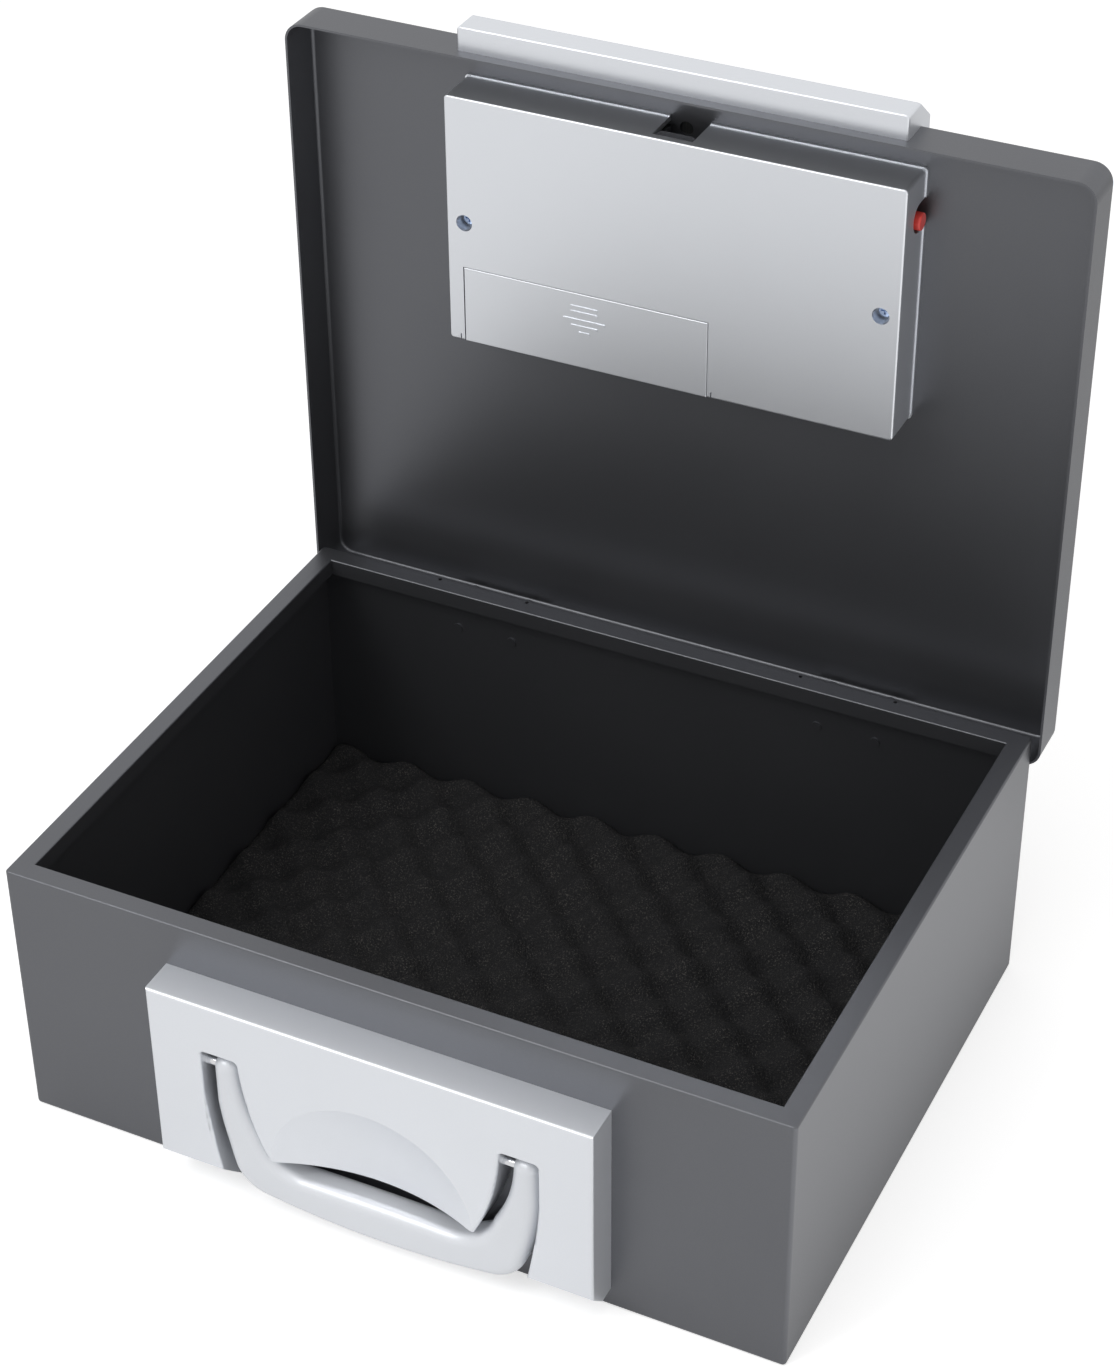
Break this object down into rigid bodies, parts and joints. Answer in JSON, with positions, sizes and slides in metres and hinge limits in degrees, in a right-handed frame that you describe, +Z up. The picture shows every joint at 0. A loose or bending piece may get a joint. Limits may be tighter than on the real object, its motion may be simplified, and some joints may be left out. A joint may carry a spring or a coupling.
{
  "type": "lockable document box",
  "caption": "Steel document box with a hinged lid, foam floor mat, swing-down carry handle, keypad console on the lid and a battery-powered bolt lock inside it.",
  "frame": {"origin": "middle of the base's underside, on the surface it stands on", "axes": "+Z up, +Y towards the hinge side, +X to the right seen from the handle side; lid open at rest"},
  "size_m": [0.36, 0.3182, 0.406],
  "materials": {
    "dark_grey_steel": "satin powder coat on sheet steel",
    "black_foam": "open cell egg-crate foam",
    "silver_plastic": "silver painted moulded plastic",
    "black_plastic": "fine grained moulded plastic",
    "key_plastic": "satin key caps",
    "key_rubber": "moulded silicone",
    "plain_steel": "zinc plated steel",
    "bright_steel": "nickel plated",
    "brass": "turned brass",
    "circuit_board": "black solder mask over laminate",
    "red_plastic": "glossy push button",
    "led_lens": "clear coloured lens",
    "copper_coil": "enamelled copper winding under tape",
    "cell_sleeve": "plain printed sleeve on a dry cell",
    "wire": "insulated hook-up wire"
  },
  "bodies": {
    "base": {"base_shell": "dark_grey_steel", "floor_mat": "black_foam", "strike_bracket": "dark_grey_steel", "base_hinge_leaves": "dark_grey_steel", "hinge_pins": "plain_steel", "base_hinge_rivets": "plain_steel", "handle_panel": "silver_plastic", "panel_screws": "plain_steel", "handle_pivot_pins": "bright_steel"},
    "handle": {"carry_handle": "silver_plastic"},
    "lid": {"lid_shell": "dark_grey_steel", "lid_hinge_leaves": "dark_grey_steel", "lid_hinge_rivets": "plain_steel", "console_body": "silver_plastic", "keypad_bezel": "black_plastic", "key_mat": "key_rubber", "keypad_board": "circuit_board", "status_leds": "led_lens", "console_screws": "plain_steel", "cylinder_body": "bright_steel", "cylinder_nut": "brass", "housing_cover": "silver_plastic", "cover_screws": "plain_steel", "lock_chassis": "plain_steel", "circuit_board": "circuit_board", "keypad_ribbon": "wire", "battery_leads": "wire", "battery_tray": "black_plastic", "batteries": "cell_sleeve", "battery_contacts": "plain_steel", "bolt_guide": "plain_steel", "solenoid_frame": "plain_steel", "solenoid_coil": "copper_coil", "bolt_spring": "plain_steel"},
    "battery_door": {"battery_cover": "silver_plastic"},
    "bolt": {"lock_bolt": "bright_steel", "solenoid_plunger": "bright_steel"},
    "plug": {"key_plug": "bright_steel", "key_cam": "plain_steel"},
    "plug_cover": {"key_cover": "silver_plastic"},
    "reset": {"reset_button": "red_plastic"},
    "key_1_cap": {"key_1": "key_plastic"},
    "key_2_cap": {"key_2": "key_plastic"},
    "key_3_cap": {"key_3": "key_plastic"},
    "key_4_cap": {"key_4": "key_plastic"},
    "key_5_cap": {"key_5": "key_plastic"},
    "key_star_cap": {"key_star": "key_plastic"},
    "key_6_cap": {"key_6": "key_plastic"},
    "key_7_cap": {"key_7": "key_plastic"},
    "key_8_cap": {"key_8": "key_plastic"},
    "key_9_cap": {"key_9": "key_plastic"},
    "key_0_cap": {"key_0": "key_plastic"},
    "key_hash_cap": {"key_hash": "key_plastic"}
  },
  "joints": [
    {"name": "lid_hinge", "type": "hinge", "parent": "base", "child": "lid", "pos_m": [0, 0.1414, 0.1166], "axis": [1, 0, 0], "range_deg": [0, 90]},
    {"name": "handle_swing", "type": "hinge", "parent": "base", "child": "handle", "pos_m": [0, -0.1446, 0.0742], "axis": [-1, 0, 0], "range_deg": [0, 90]},
    {"name": "battery_cover_slide", "type": "slide", "parent": "lid", "child": "battery_door", "axis": [0, 0, -1], "range_m": [0, 0.008]},
    {"name": "bolt_slide", "type": "slide", "parent": "lid", "child": "bolt", "axis": [0, 0, 1], "range_m": [0, 0.009]},
    {"name": "key_plug_turn", "type": "hinge", "parent": "lid", "child": "plug", "pos_m": [-0.066, 0.15, 0.358], "axis": [0, -1, 0], "range_deg": [-90, 0]},
    {"name": "key_cover_swivel", "type": "hinge", "parent": "lid", "child": "plug_cover", "pos_m": [-0.066, 0.165, 0.342], "axis": [0, -1, 0], "range_deg": [0, 90]},
    {"name": "reset_button_push", "type": "slide", "parent": "lid", "child": "reset", "axis": [-1, 0, 0], "range_m": [0, 0.0015], "stiffness_N_per_m": 200, "springref_m": -0.0005},
    {"name": "key_1_press", "type": "slide", "parent": "lid", "child": "key_1_cap", "axis": [0, -1, 0], "range_m": [0, 0.001], "stiffness_N_per_m": 300, "springref_m": -0.0004},
    {"name": "key_2_press", "type": "slide", "parent": "lid", "child": "key_2_cap", "axis": [0, -1, 0], "range_m": [0, 0.001], "stiffness_N_per_m": 300, "springref_m": -0.0004},
    {"name": "key_3_press", "type": "slide", "parent": "lid", "child": "key_3_cap", "axis": [0, -1, 0], "range_m": [0, 0.001], "stiffness_N_per_m": 300, "springref_m": -0.0004},
    {"name": "key_4_press", "type": "slide", "parent": "lid", "child": "key_4_cap", "axis": [0, -1, 0], "range_m": [0, 0.001], "stiffness_N_per_m": 300, "springref_m": -0.0004},
    {"name": "key_5_press", "type": "slide", "parent": "lid", "child": "key_5_cap", "axis": [0, -1, 0], "range_m": [0, 0.001], "stiffness_N_per_m": 300, "springref_m": -0.0004},
    {"name": "key_star_press", "type": "slide", "parent": "lid", "child": "key_star_cap", "axis": [0, -1, 0], "range_m": [0, 0.001], "stiffness_N_per_m": 300, "springref_m": -0.0004},
    {"name": "key_6_press", "type": "slide", "parent": "lid", "child": "key_6_cap", "axis": [0, -1, 0], "range_m": [0, 0.001], "stiffness_N_per_m": 300, "springref_m": -0.0004},
    {"name": "key_7_press", "type": "slide", "parent": "lid", "child": "key_7_cap", "axis": [0, -1, 0], "range_m": [0, 0.001], "stiffness_N_per_m": 300, "springref_m": -0.0004},
    {"name": "key_8_press", "type": "slide", "parent": "lid", "child": "key_8_cap", "axis": [0, -1, 0], "range_m": [0, 0.001], "stiffness_N_per_m": 300, "springref_m": -0.0004},
    {"name": "key_9_press", "type": "slide", "parent": "lid", "child": "key_9_cap", "axis": [0, -1, 0], "range_m": [0, 0.001], "stiffness_N_per_m": 300, "springref_m": -0.0004},
    {"name": "key_0_press", "type": "slide", "parent": "lid", "child": "key_0_cap", "axis": [0, -1, 0], "range_m": [0, 0.001], "stiffness_N_per_m": 300, "springref_m": -0.0004},
    {"name": "key_hash_press", "type": "slide", "parent": "lid", "child": "key_hash_cap", "axis": [0, -1, 0], "range_m": [0, 0.001], "stiffness_N_per_m": 300, "springref_m": -0.0004}
  ]
}
